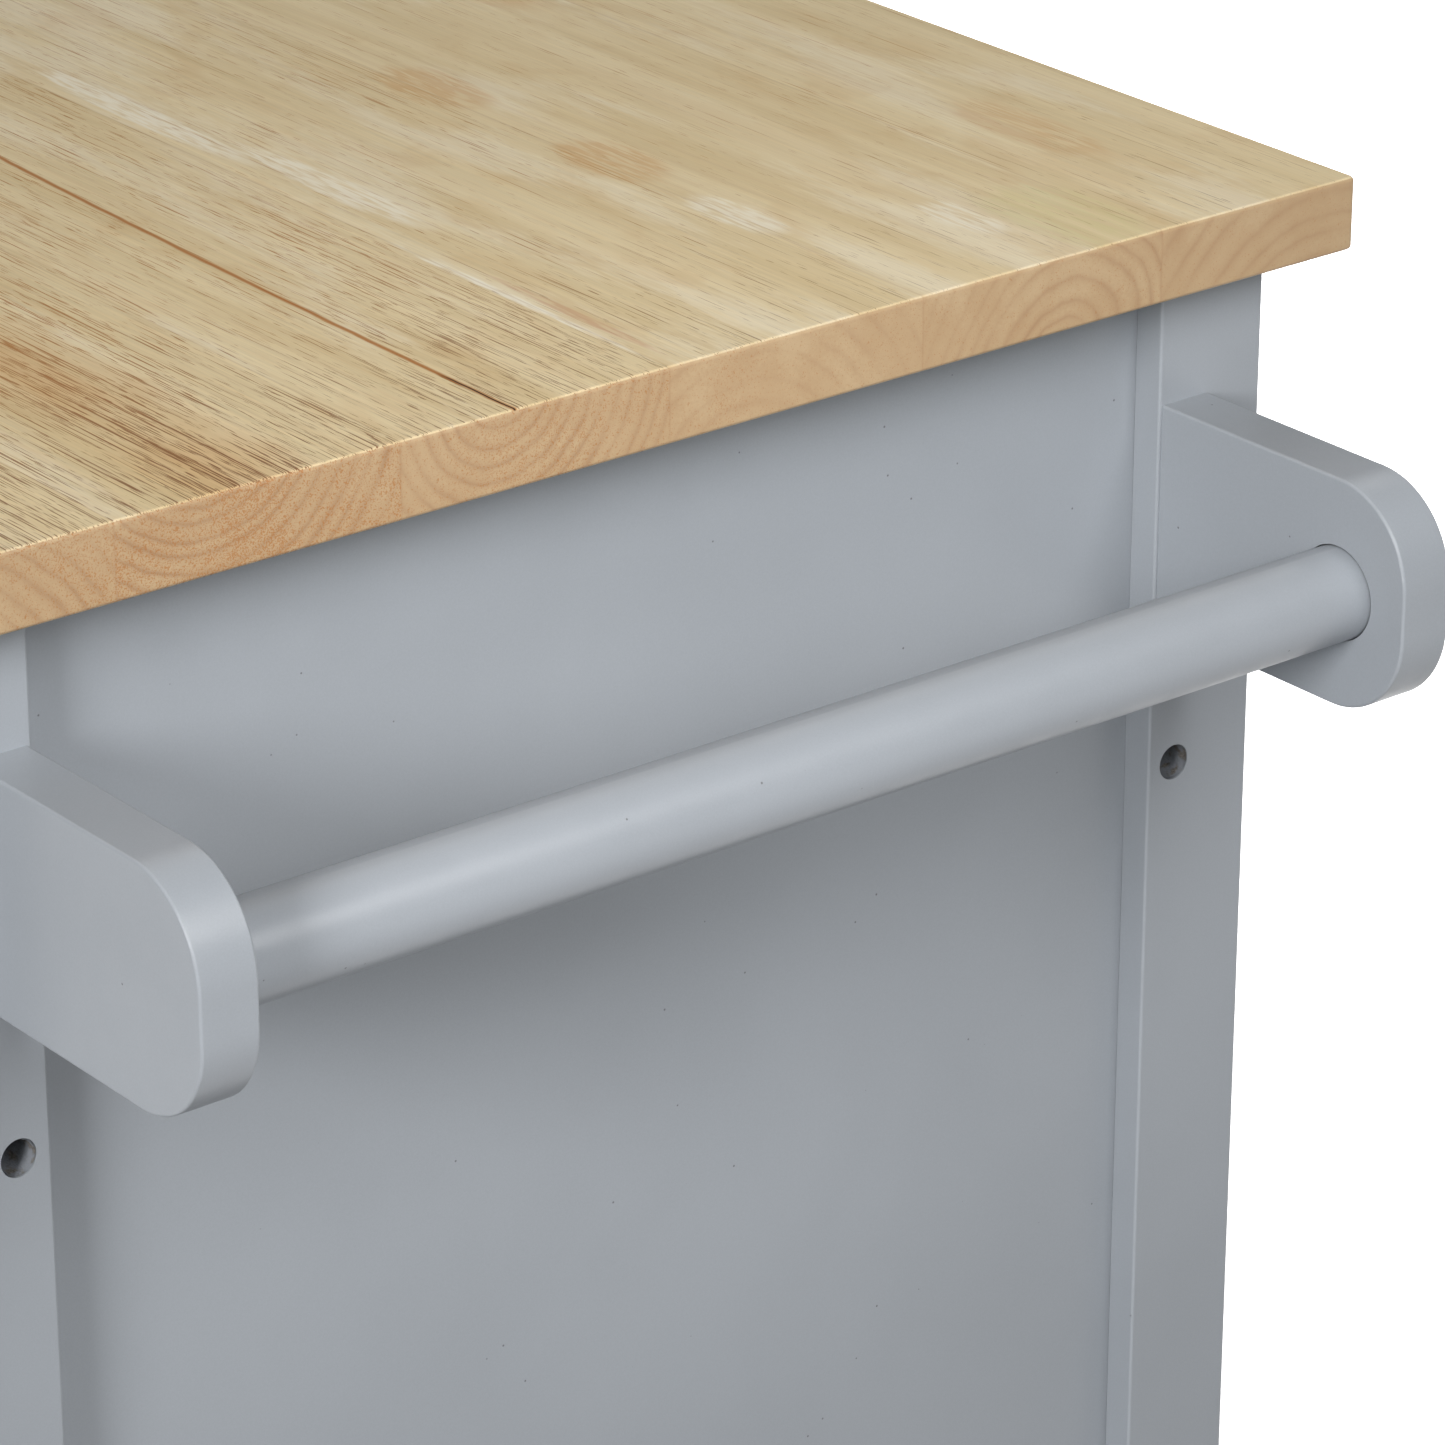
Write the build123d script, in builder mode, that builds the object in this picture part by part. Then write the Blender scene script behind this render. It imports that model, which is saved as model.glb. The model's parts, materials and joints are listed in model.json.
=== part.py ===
"""Rolling kitchen island with a butcher block top, two drawers, two doors and a towel bar.

The cabinet is four square posts joined by rails.  Each end is closed by a thin panel that
sits in grooves of the two posts, and the back by a sheet between the back posts.  Drawer
fronts and doors lie between the front posts, flush with them, in front of the set-back
rails.  +X is the end with the towel bar, -Y is the front and +Z is up.  The origin is the
middle of the whole object's bounding box, on the floor.
"""

import os
from math import cos, radians, sin

from build123d import *

os.makedirs("parts", exist_ok=True)

# ---------------------------------------------------------------- driving dimensions, mm
TOP_LENGTH, TOP_DEPTH, TOP_THICK = 1000, 452, 20
WORK_HEIGHT = 915
OVERHANG = 16.5
TOP_CORNER_RADIUS, TOP_EDGE_RADIUS = 2, 1.2
STAVE_WIDTH = 79.5
FIRST_STAVE_WIDTH = 66

POST = 35.5
POST_BOTTOM = 68
RAIL_THICK = 20
RAIL_SETBACK = 16.5
TOP_RAIL_HEIGHT = 20
MID_RAIL_HEIGHT = 40
MID_RAIL_DROP = 160.5
BOTTOM_RAIL_LOW, BOTTOM_RAIL_HIGH = 88, 133
PAINTED_EDGE = 0.8

PANEL_RECESS, PANEL_THICK, PANEL_TONGUE = 9.5, 9, 3.5
END_BOTTOM_RAIL_THICK, END_BOTTOM_RAIL_HEIGHT = 22, 60
END_TOP_RAIL_HEIGHT = 120
BACK_PANEL_THICK = 4
BOARD = 15
GROOVE_PLAY = 0.1
# Pieces that would fuse into one solid are kept this far apart.
SEAM = 0.1

SHELF_LEVEL, SHELF_CLEARANCE = 400, 1
PIN_RADIUS, PIN_DEPTH, PIN_LENGTH, PIN_HOLE_SPARE = 2.5, 7, 15, 0.3
PIN_INSET, PIN_PITCH = 50, 64

FRONT_THICK = 16
FRONT_GAP = 3
FRONT_EDGE = 1.2
DRAWER_SIDE_THICK, DRAWER_LENGTH = 12, 330
DRAWER_CLEARANCE = 6
DRAWER_BOTTOM_THICK, DRAWER_BOTTOM_RISE, DRAWER_BOTTOM_PLAY = 5, 8, 0.2
DRAWER_GROOVE = 6
SLIDE_THICK, SLIDE_HEIGHT, SLIDE_WALL, SLIDE_PLAY = 12.7, 35, 1.2, 0.3
SLIDE_LENGTH, SLIDE_RAIL_LENGTH, SLIDE_SETBACK = 330, 315, 2
CHANNEL_FLANGE, SLIDE_RAIL_FLANGE = 11, 9

DOOR_FRAME_WIDTH = 58
DOOR_BOTTOM = 92
DOOR_PANEL_THICK, DOOR_PANEL_RECESS, DOOR_PANEL_PLAY, DOOR_GROOVE = 6, 5, 0.5, 8
DOOR_KNOB_DROP = 95
HINGE_LENGTH, HINGE_INSET = 50, 80
HINGE_BARREL_RADIUS, HINGE_PIN_RADIUS, HINGE_LEAF = 3.5, 1.5, 1.2
HINGE_LEAF_WIDTH = 18
HINGE_STANDOFF, KNUCKLE_GAP = 0.2, 0.25
HINGE_CAP_RADIUS, HINGE_CAP, HINGE_CAP_GAP = 2.5, 1.4, 0.1
CATCH_LENGTH, CATCH_DEPTH, CATCH_HEIGHT = 40, 14, 12
CATCH_FROM_CENTRE, CATCH_GAP, CATCH_EDGE = 45, 0.8, 1.5

KNOB_REACH, KNOB_RADIUS = 26, 15
KNOB_FOOT_RADIUS, KNOB_FOOT = 7, 1.5
# Radius and distance from the front of the knob's narrowest, flaring and widest places.
KNOB_NECK, KNOB_SHOULDER, KNOB_WIDEST = (4.6, 7), (6.5, 13), (KNOB_RADIUS, 19)
KNOB_SCREW_RADIUS, KNOB_SCREW_HEAD_RADIUS, KNOB_SCREW_HEAD = 2, 4.5, 2.5
KNOB_SCREW_DEPTH, KNOB_SCREW_HOLE_RADIUS = 10, 2.2

BRACKET_HEIGHT, BRACKET_REACH, BRACKET_THICK = 62, 91.5, 16
BRACKET_CORNER, BRACKET_DROP = 25, 56.5
BAR_RADIUS, BAR_REACH = 12.5, 67
SOCKET_RADIUS, SOCKET_DEPTH, BAR_END_PLAY = 12.8, 9, 0.5
BRACKET_BOLT_SPREAD, BRACKET_BOLT_REACH = 15.5, 20
FASTENER_INSET = 26.5

BOLT_RADIUS, BOLT_HOLE_RADIUS = 3, 3.25
BOLT_HEAD_RADIUS, BOLT_HEAD_HEIGHT, BOLT_HEAD_PLAY = 4.8, 6, 0.7
HEX_SOCKET_RADIUS = 2.64
# Running clearance of a pin, bolt or screw in its own hole.
PIN_PLAY = 0.05
CONNECTOR_HOLE_RADIUS, CONNECTOR_HOLE_DEPTH = 5, 22
NUT_SETBACK, NUT_RADIUS, NUT_LENGTH, NUT_SUNK = 30, 4.9, 14, 2
BOLT_PAST_NUT = 3
DOWEL_RADIUS, DOWEL_INTO_POST, DOWEL_INTO_RAIL, DOWEL_END_PLAY = 4, 12, 18, 1
END_TOP_DOWEL_DROP = 25
END_BOTTOM_DOWEL_LEVELS = [96, 134]
BRACE_LEG, BRACE_WALL, BRACE_WIDTH, BRACE_HOLE, BRACE_FROM_CENTRE = 18, 1.6, 16, 11, 300
BRACE_SCREW_RADIUS, BRACE_SCREW_REACH, BRACE_HEAD_RADIUS, BRACE_HEAD = 2, 10, 3.6, 1.6

WHEEL_RADIUS, WHEEL_WIDTH, HUB_RADIUS = 25, 18, 17.5
TYRE_ROUNDING, HUB_RECESS, HUB_WEB = 3.5, 3, 3
CASTER_TRAIL = 20
AXLE_RADIUS, AXLE_END, AXLE_HEAD_RADIUS, AXLE_RIVET_RADIUS = 3, 3, 5.5, 5
FORK_WALL, FORK_GAP, FORK_CLEARANCE = 2, 20, 0.4
# The fork's cheek: how far it runs past the stem and the wheel's axle, and its steps down.
FORK_HEEL, FORK_TOE, FORK_BRAKE_TOE, FORK_WAIST, FORK_BOSS = 14, 4, 16, 6, 9
FORK_SKIRT, FORK_WAIST_DROP = 12, 26
STEM_RADIUS, STEM_INTO_POST, STEM_INTO_FORK = 4, 28, 7
RACE_RADIUS, RACE_HEIGHT = 15, 6
PEDAL_REACH, PEDAL_WIDTH, PEDAL_PIN_RADIUS, PEDAL_PIN_END = 26, 18, 2, 1
PEDAL_OFF_TYRE, PEDAL_PIVOT_ANGLE = 6.5, 62

# ---------------------------------------------------------------- places worked out from them
BRACKET_PAST_TOP = BRACKET_REACH - OVERHANG
KNOB_PAST_TOP = KNOB_REACH - OVERHANG
CENTRE_X = -BRACKET_PAST_TOP / 2
CENTRE_Y = KNOB_PAST_TOP / 2
LEFT = CENTRE_X - TOP_LENGTH / 2 + OVERHANG
RIGHT = CENTRE_X + TOP_LENGTH / 2 - OVERHANG
FRONT = CENTRE_Y - TOP_DEPTH / 2 + OVERHANG
BACK = CENTRE_Y + TOP_DEPTH / 2 - OVERHANG
INNER_LEFT, INNER_RIGHT = LEFT + POST, RIGHT - POST
OPENING_LENGTH = INNER_RIGHT - INNER_LEFT
END_OPENING = BACK - FRONT - 2 * POST
UNDERSIDE = WORK_HEIGHT - TOP_THICK
MID_RAIL_LEVEL = WORK_HEIGHT - MID_RAIL_DROP
BOTTOM_RAIL_LEVEL = (BOTTOM_RAIL_LOW + BOTTOM_RAIL_HIGH) / 2
FRONT_RAIL_Y = FRONT + RAIL_SETBACK + RAIL_THICK / 2
BACK_RAIL_Y = BACK - RAIL_SETBACK - RAIL_THICK / 2
INSIDE_FRONT, INSIDE_BACK = FRONT_RAIL_Y + RAIL_THICK / 2, BACK_RAIL_Y - RAIL_THICK / 2
INSIDE_DEPTH = INSIDE_BACK - INSIDE_FRONT
END_RAIL_TOP = BOTTOM_RAIL_LOW + END_BOTTOM_RAIL_HEIGHT
BRACKET_LEVEL = WORK_HEIGHT - BRACKET_DROP - BRACKET_HEIGHT / 2
FASTENER_Y = {-1: FRONT + FASTENER_INSET, 1: BACK - FASTENER_INSET}
BRACKET_BOLT_LEVELS = [BRACKET_LEVEL - BRACKET_BOLT_SPREAD, BRACKET_LEVEL + BRACKET_BOLT_SPREAD]
END_TOP_DOWEL_LEVELS = [BRACKET_LEVEL, UNDERSIDE - END_TOP_DOWEL_DROP]
TOP_RAIL_DOWEL_LEVEL = UNDERSIDE - TOP_RAIL_HEIGHT / 2

FRONT_WIDTH = (OPENING_LENGTH - 3 * FRONT_GAP) / 2
DRAWER_LOW = MID_RAIL_LEVEL + MID_RAIL_HEIGHT / 2 + DRAWER_CLEARANCE
DRAWER_HIGH = UNDERSIDE - TOP_RAIL_HEIGHT - DRAWER_CLEARANCE
SLIDE_LEVEL = (DRAWER_LOW + DRAWER_HIGH) / 2
DRAWER_FRONT_LOW = MID_RAIL_LEVEL + FRONT_GAP / 2
DRAWER_FRONT_HIGH = UNDERSIDE - FRONT_GAP
DOOR_TOP = MID_RAIL_LEVEL - FRONT_GAP / 2
FRONT_X = {s: CENTRE_X + s * (FRONT_GAP + FRONT_WIDTH) / 2 for s in (-1, 1)}
SIDE_NAME = {-1: "left", 1: "right"}
DEPTH_NAME = {-1: "front", 1: "back"}
OUTER_X = {-1: LEFT, 1: RIGHT}
INNER_X = {-1: INNER_LEFT, 1: INNER_RIGHT}
OUTER_Y = {-1: FRONT, 1: BACK}
RAIL_Y = {-1: FRONT_RAIL_Y, 1: BACK_RAIL_Y}
RAIL_LEVELS = [MID_RAIL_LEVEL, BOTTOM_RAIL_LEVEL]
HINGE_LEVELS = [DOOR_BOTTOM + HINGE_INSET, DOOR_TOP - HINGE_INSET]
HINGE_AXIS_Y = FRONT - HINGE_BARREL_RADIUS - HINGE_STANDOFF
PIN_LEVELS = [SHELF_LEVEL - PIN_RADIUS + step * PIN_PITCH for step in (-1, 0, 1)]
PIN_ROWS = [INSIDE_FRONT + PIN_INSET, INSIDE_BACK - PIN_INSET]
BRACE_X = [CENTRE_X - BRACE_FROM_CENTRE, CENTRE_X + BRACE_FROM_CENTRE]


def save(built, name):
    """Labels a finished piece and writes it as its own STEP file."""
    built.part.label = name
    export_step(built.part, f"parts/{name}.step")


def slab(x0, x1, y0, y1, z0, z1, mode=Mode.ADD):
    """A rectangular board between two corners, added to or cut from the part being built."""
    with Locations(((x0 + x1) / 2, (y0 + y1) / 2, (z0 + z1) / 2)):
        Box(x1 - x0, y1 - y0, z1 - z0, mode=mode)


def facing(origin, direction):
    """A plane at a face, whose normal points out of the wood, for drilling into it."""
    return Plane(origin=origin, z_dir=direction)


def rod(origin, direction, radius, length):
    """A round pin that starts at origin and runs along direction."""
    with BuildSketch(facing(origin, direction)) as section:
        Circle(radius)
    extrude(section.sketch, amount=length)


# ---------------------------------------------------------------- worktop
def worktop():
    """A slab of six staves that run its whole length, glued edge to edge."""
    with BuildPart() as top:
        with BuildSketch(Plane.XY.offset(UNDERSIDE)):
            with Locations((CENTRE_X, CENTRE_Y)):
                RectangleRounded(TOP_LENGTH, TOP_DEPTH, TOP_CORNER_RADIUS)
        extrude(amount=TOP_THICK)
        fillet(top.faces().sort_by(Axis.Z)[-1].edges(), TOP_EDGE_RADIUS)
        fillet(top.faces().sort_by(Axis.Z)[0].edges(), TOP_EDGE_RADIUS)
        glue_line = CENTRE_Y - TOP_DEPTH / 2 + FIRST_STAVE_WIDTH
        while glue_line < CENTRE_Y + TOP_DEPTH / 2:
            split(bisect_by=Plane(origin=(0, glue_line, 0), z_dir=(0, 1, 0)), keep=Keep.BOTH)
            glue_line += STAVE_WIDTH
    save(top, "butcher_block_top")


# ---------------------------------------------------------------- posts, rails and panels
def corner_post(side, depth):
    """A post with its end-panel groove, bolt holes, dowel holes and caster socket."""
    outer_x, inner_x, outer_y = OUTER_X[side], INNER_X[side], OUTER_Y[depth]
    inner_y = outer_y - depth * POST
    middle = (outer_x - side * POST / 2, outer_y - depth * POST / 2)
    with BuildPart() as post:
        with BuildSketch(Plane.XY.offset(POST_BOTTOM)):
            with Locations(middle):
                Rectangle(POST, POST)
        extrude(amount=UNDERSIDE - POST_BOTTOM)
        fillet(post.edges().filter_by(Axis.Z), PAINTED_EDGE)
        chamfer(post.faces().sort_by(Axis.Z)[0].edges(), PAINTED_EDGE)
        groove_x = sorted((outer_x - side * (PANEL_RECESS - GROOVE_PLAY),
                           outer_x - side * (PANEL_RECESS + PANEL_THICK + GROOVE_PLAY)))
        groove_y = sorted((inner_y, inner_y + depth * (PANEL_TONGUE + GROOVE_PLAY)))
        slab(*groove_x, *groove_y, END_RAIL_TOP - PANEL_TONGUE, UNDERSIDE, Mode.SUBTRACT)
        for level in RAIL_LEVELS:
            with Locations(facing((outer_x, FASTENER_Y[depth], level), (side, 0, 0))):
                CounterBoreHole(BOLT_HOLE_RADIUS, CONNECTOR_HOLE_RADIUS, CONNECTOR_HOLE_DEPTH, POST)
        if side == 1:
            for level in BRACKET_BOLT_LEVELS:
                with Locations(facing((inner_x, FASTENER_Y[depth], level), (-side, 0, 0))):
                    CounterBoreHole(BOLT_HOLE_RADIUS, BOLT_HEAD_RADIUS + BOLT_HEAD_PLAY,
                                    BOLT_HEAD_HEIGHT, POST)
        with Locations(facing((inner_x, FASTENER_Y[depth], TOP_RAIL_DOWEL_LEVEL), (-side, 0, 0))):
            Hole(DOWEL_RADIUS, DOWEL_INTO_POST)
        for dowel_x, level in end_dowels(side):
            with Locations(facing((dowel_x, inner_y, level), (0, -depth, 0))):
                Hole(DOWEL_RADIUS, DOWEL_INTO_POST)
        with Locations(facing((*middle, POST_BOTTOM), (0, 0, -1))):
            Hole(STEM_RADIUS + PIN_PLAY, STEM_INTO_POST + 1)
    save(post, f"{DEPTH_NAME[depth]}_{SIDE_NAME[side]}_post")


def end_dowels(side):
    """Where the dowels of an end's top and bottom rails are, as (x, z) pairs."""
    top_x = (INNER_X[side] + OUTER_X[side] - side * (PANEL_RECESS + PANEL_THICK)) / 2
    bottom_x = OUTER_X[side] - side * END_BOTTOM_RAIL_THICK / 2
    return ([(top_x, level) for level in END_TOP_DOWEL_LEVELS]
            + [(bottom_x, level) for level in END_BOTTOM_DOWEL_LEVELS])


def end_panels_and_rails():
    for side in (-1, 1):
        outer = OUTER_X[side]
        face = outer - side * PANEL_RECESS
        rear = face - side * PANEL_THICK
        with BuildPart() as panel:
            slab(*sorted((face, rear)), FRONT + POST - PANEL_TONGUE, BACK - POST + PANEL_TONGUE,
                 END_RAIL_TOP - PANEL_TONGUE, UNDERSIDE)
            shelf_pin_holes(rear, side)
        save(panel, f"{SIDE_NAME[side]}_end_panel")

    with BuildPart() as rails:
        for side in (-1, 1):
            outer = OUTER_X[side]
            slab(*sorted((outer, outer - side * END_BOTTOM_RAIL_THICK)), FRONT + POST, BACK - POST,
                 BOTTOM_RAIL_LOW, END_RAIL_TOP)
            slab(*sorted((INNER_X[side], outer - side * (PANEL_RECESS + PANEL_THICK))),
                 FRONT + POST, BACK - POST, UNDERSIDE - END_TOP_RAIL_HEIGHT, UNDERSIDE)
        fillet(rails.edges().filter_by(Axis.Y), PAINTED_EDGE)
        for side in (-1, 1):
            groove_x = sorted((OUTER_X[side] - side * (PANEL_RECESS - GROOVE_PLAY),
                               OUTER_X[side] - side * (PANEL_RECESS + PANEL_THICK + GROOVE_PLAY)))
            slab(*groove_x, FRONT + POST, BACK - POST, END_RAIL_TOP - PANEL_TONGUE - GROOVE_PLAY,
                 END_RAIL_TOP, Mode.SUBTRACT)
            for dowel_x, level in end_dowels(side):
                rail_end_dowel_holes(dowel_x, level)
    save(rails, "end_rails")


def rail_end_dowel_holes(x, level):
    """Dowel holes in both ends of a rail that runs along Y between the front and back posts."""
    for depth in (-1, 1):
        with Locations(facing((x, OUTER_Y[depth] - depth * POST, level), (0, depth, 0))):
            Hole(DOWEL_RADIUS, DOWEL_INTO_RAIL)


def long_rails(name, middle, height):
    """A front and a back rail along X between the posts, set back behind the fronts and doors."""
    bolted = middle in RAIL_LEVELS
    low, high = middle - height / 2, middle + height / 2
    with BuildPart() as rails:
        for y in RAIL_Y.values():
            slab(INNER_LEFT, INNER_RIGHT, y - RAIL_THICK / 2, y + RAIL_THICK / 2, low, high)
        fillet(rails.edges().filter_by(Axis.X), PAINTED_EDGE)
        for depth, y in RAIL_Y.items():
            for side in (-1, 1):
                with Locations(facing((INNER_X[side], y, middle), (side, 0, 0))):
                    if bolted:
                        Hole(BOLT_HOLE_RADIUS, NUT_SETBACK + 2 * CONNECTOR_HOLE_RADIUS)
                    else:
                        Hole(DOWEL_RADIUS, DOWEL_INTO_RAIL)
                if bolted:
                    nut_x = INNER_X[side] - side * NUT_SETBACK
                    inner_face = y - depth * RAIL_THICK / 2
                    with Locations(facing((nut_x, inner_face, middle), (0, -depth, 0))):
                        Hole(CONNECTOR_HOLE_RADIUS, NUT_LENGTH + NUT_SUNK + 1)
    save(rails, name)


def boards():
    """Floor, centre partition, back sheet and the two adjustable shelves."""
    with BuildPart() as floor_panel:
        slab(LEFT + END_BOTTOM_RAIL_THICK, RIGHT - END_BOTTOM_RAIL_THICK, INSIDE_FRONT, INSIDE_BACK,
             BOTTOM_RAIL_HIGH - BOARD, BOTTOM_RAIL_HIGH)
    save(floor_panel, "floor_panel")

    with BuildPart() as partition:
        slab(CENTRE_X - BOARD / 2, CENTRE_X + BOARD / 2, INSIDE_FRONT, INSIDE_BACK,
             BOTTOM_RAIL_HIGH, UNDERSIDE)
        for side in (-1, 1):
            shelf_pin_holes(CENTRE_X + side * BOARD / 2, -side)
    save(partition, "centre_partition")

    with BuildPart() as back_panel:
        back_face = BACK - RAIL_SETBACK
        slab(INNER_LEFT, INNER_RIGHT, back_face, back_face + BACK_PANEL_THICK,
             BOTTOM_RAIL_LOW, UNDERSIDE)
    save(back_panel, "back_panel")

    for side in (-1, 1):
        near, far = shelf_span(side)
        with BuildPart() as shelf:
            slab(*sorted((near, far)), INSIDE_FRONT + SHELF_CLEARANCE, INSIDE_BACK - SHELF_CLEARANCE,
                 SHELF_LEVEL, SHELF_LEVEL + BOARD)
            fillet(shelf.edges().filter_by(Axis.X), PAINTED_EDGE)
        save(shelf, f"{SIDE_NAME[side]}_shelf")


def shelf_span(side):
    """The shelf's edge beside the partition and its edge beside the end panel."""
    near = CENTRE_X + side * (BOARD / 2 + SHELF_CLEARANCE)
    far = OUTER_X[side] - side * (PANEL_RECESS + PANEL_THICK + SHELF_CLEARANCE)
    return near, far


def shelf_pin_holes(face_x, into):
    """A grid of blind pin holes in a board's face; into is the way they go, -1 or 1 along X."""
    for y in PIN_ROWS:
        for level in PIN_LEVELS:
            with Locations(facing((face_x, y, level), (-into, 0, 0))):
                Hole(PIN_RADIUS, PIN_DEPTH + PIN_HOLE_SPARE)


def shelf_pins():
    with BuildPart() as pins:
        for side in (-1, 1):
            partition_face = CENTRE_X + side * BOARD / 2
            panel_face = OUTER_X[side] - side * (PANEL_RECESS + PANEL_THICK)
            for y in PIN_ROWS:
                level = SHELF_LEVEL - PIN_RADIUS
                rod((partition_face - side * PIN_DEPTH, y, level), (side, 0, 0), PIN_RADIUS, PIN_LENGTH)
                rod((panel_face + side * PIN_DEPTH, y, level), (-side, 0, 0), PIN_RADIUS, PIN_LENGTH)
    save(pins, "shelf_pins")


# ---------------------------------------------------------------- fasteners of the cabinet
def rail_fasteners():
    """Bolts from the posts' outer faces into round cross nuts inside the rails, and dowels."""
    length = POST - CONNECTOR_HOLE_DEPTH + NUT_SETBACK + CONNECTOR_HOLE_RADIUS + BOLT_PAST_NUT
    with BuildPart() as bolts:
        for side in (-1, 1):
            for depth in (-1, 1):
                for level in RAIL_LEVELS:
                    seat = OUTER_X[side] - side * CONNECTOR_HOLE_DEPTH
                    y = FASTENER_Y[depth]
                    socket_bolt((seat, y, level), (-side, 0, 0), length)
    save(bolts, "rail_bolts")

    with BuildPart() as nuts:
        for side in (-1, 1):
            for depth in (-1, 1):
                inner_face = RAIL_Y[depth] - depth * RAIL_THICK / 2
                for level in RAIL_LEVELS:
                    nut_x = INNER_X[side] - side * NUT_SETBACK
                    rod((nut_x, inner_face + depth * NUT_SUNK, level), (0, depth, 0),
                        NUT_RADIUS, NUT_LENGTH)
        for side in (-1, 1):
            for depth in (-1, 1):
                for level in RAIL_LEVELS:
                    nut_x = INNER_X[side] - side * (NUT_SETBACK - CONNECTOR_HOLE_RADIUS)
                    with Locations(facing((nut_x, FASTENER_Y[depth], level), (side, 0, 0))):
                        Hole(BOLT_RADIUS + PIN_PLAY, 2 * CONNECTOR_HOLE_RADIUS)
    save(nuts, "barrel_nuts")

    with BuildPart() as dowels:
        run = DOWEL_INTO_POST + DOWEL_INTO_RAIL - 2 * DOWEL_END_PLAY
        for side in (-1, 1):
            for depth in (-1, 1):
                start = INNER_X[side] + side * (DOWEL_INTO_POST - DOWEL_END_PLAY)
                rod((start, FASTENER_Y[depth], TOP_RAIL_DOWEL_LEVEL), (-side, 0, 0), DOWEL_RADIUS, run)
                start = OUTER_Y[depth] - depth * (POST - DOWEL_INTO_POST + DOWEL_END_PLAY)
                for x, level in end_dowels(side):
                    rod((x, start, level), (0, -depth, 0), DOWEL_RADIUS, run)
    save(dowels, "dowels")


def socket_bolt(seat, direction, length):
    """A bolt whose head rests on seat, with a hexagon socket; its shank runs along direction."""
    back = Vector(*direction) * -BOLT_HEAD_HEIGHT
    rod(seat, direction, BOLT_RADIUS, length)
    rod(Vector(*seat) + back, direction, BOLT_HEAD_RADIUS, BOLT_HEAD_HEIGHT)
    with BuildSketch(facing(Vector(*seat) + back, direction)) as hexagon:
        RegularPolygon(HEX_SOCKET_RADIUS, 6)
    extrude(hexagon.sketch, amount=BOLT_HEAD_HEIGHT / 2, mode=Mode.SUBTRACT)


def top_fixings():
    """Steel angles that hold the worktop to the front and back top rails, with their screws."""
    with BuildPart() as braces:
        for depth in (-1, 1):
            face = RAIL_Y[depth] - depth * RAIL_THICK / 2
            for x in BRACE_X:
                for reach, low in ((BRACE_WALL, UNDERSIDE - BRACE_LEG),
                                   (BRACE_LEG, UNDERSIDE - BRACE_WALL)):
                    slab(x - BRACE_WIDTH / 2, x + BRACE_WIDTH / 2, *sorted((face, face - depth * reach)),
                         low, UNDERSIDE)
                wall = (x, face - depth * BRACE_WALL, UNDERSIDE - BRACE_HOLE)
                ceiling = (x, face - depth * BRACE_HOLE, UNDERSIDE - BRACE_WALL)
                for place, outwards in ((wall, (0, -depth, 0)), (ceiling, (0, 0, -1))):
                    rod(place, -Vector(*outwards), BRACE_SCREW_RADIUS, BRACE_SCREW_REACH)
                    rod(place, outwards, BRACE_HEAD_RADIUS, BRACE_HEAD)
    save(braces, "top_fixings")


# ---------------------------------------------------------------- towel bar
def towel_bar():
    """A round bar between two brackets, which are bolted to the right posts from inside."""
    for depth in (-1, 1):
        name = f"{DEPTH_NAME[depth]}_bar_bracket"
        y = FASTENER_Y[depth]
        inner_face = y - depth * BRACKET_THICK / 2
        with BuildPart() as bracket:
            with BuildSketch(Plane(origin=(RIGHT, y + BRACKET_THICK / 2, BRACKET_LEVEL),
                                   x_dir=(1, 0, 0), z_dir=(0, -1, 0))):
                with BuildLine():
                    half = BRACKET_HEIGHT / 2
                    FilletPolyline((0, -half), (BRACKET_REACH, -half), (BRACKET_REACH, half), (0, half),
                                   radius=BRACKET_CORNER)
                    Line((0, half), (0, -half))
                make_face()
            extrude(amount=BRACKET_THICK)
            rims = [edge for face in bracket.faces().filter_by(Axis.Y) for edge in face.edges()
                    if edge.center().X > RIGHT + 1]
            fillet(rims, PAINTED_EDGE)
            with Locations(facing((RIGHT + BAR_REACH, inner_face, BRACKET_LEVEL), (0, -depth, 0))):
                Hole(SOCKET_RADIUS, SOCKET_DEPTH)
            for level in BRACKET_BOLT_LEVELS:
                with Locations(facing((RIGHT, y, level), (-1, 0, 0))):
                    Hole(BOLT_RADIUS + PIN_PLAY, BRACKET_BOLT_REACH + 1)
        save(bracket, name)

    with BuildPart() as bar:
        start = FASTENER_Y[-1] + BRACKET_THICK / 2 - SOCKET_DEPTH + BAR_END_PLAY
        end = FASTENER_Y[1] - BRACKET_THICK / 2 + SOCKET_DEPTH - BAR_END_PLAY
        rod((RIGHT + BAR_REACH, start, BRACKET_LEVEL), (0, 1, 0), BAR_RADIUS, end - start)
        fillet(bar.edges().filter_by(GeomType.CIRCLE), PAINTED_EDGE)
    save(bar, "towel_bar")

    with BuildPart() as bolts:
        for depth in (-1, 1):
            for level in BRACKET_BOLT_LEVELS:
                seat = (INNER_RIGHT + BOLT_HEAD_HEIGHT, FASTENER_Y[depth], level)
                socket_bolt(seat, (1, 0, 0), POST - BOLT_HEAD_HEIGHT + BRACKET_BOLT_REACH)
    save(bolts, "bracket_bolts")


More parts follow.
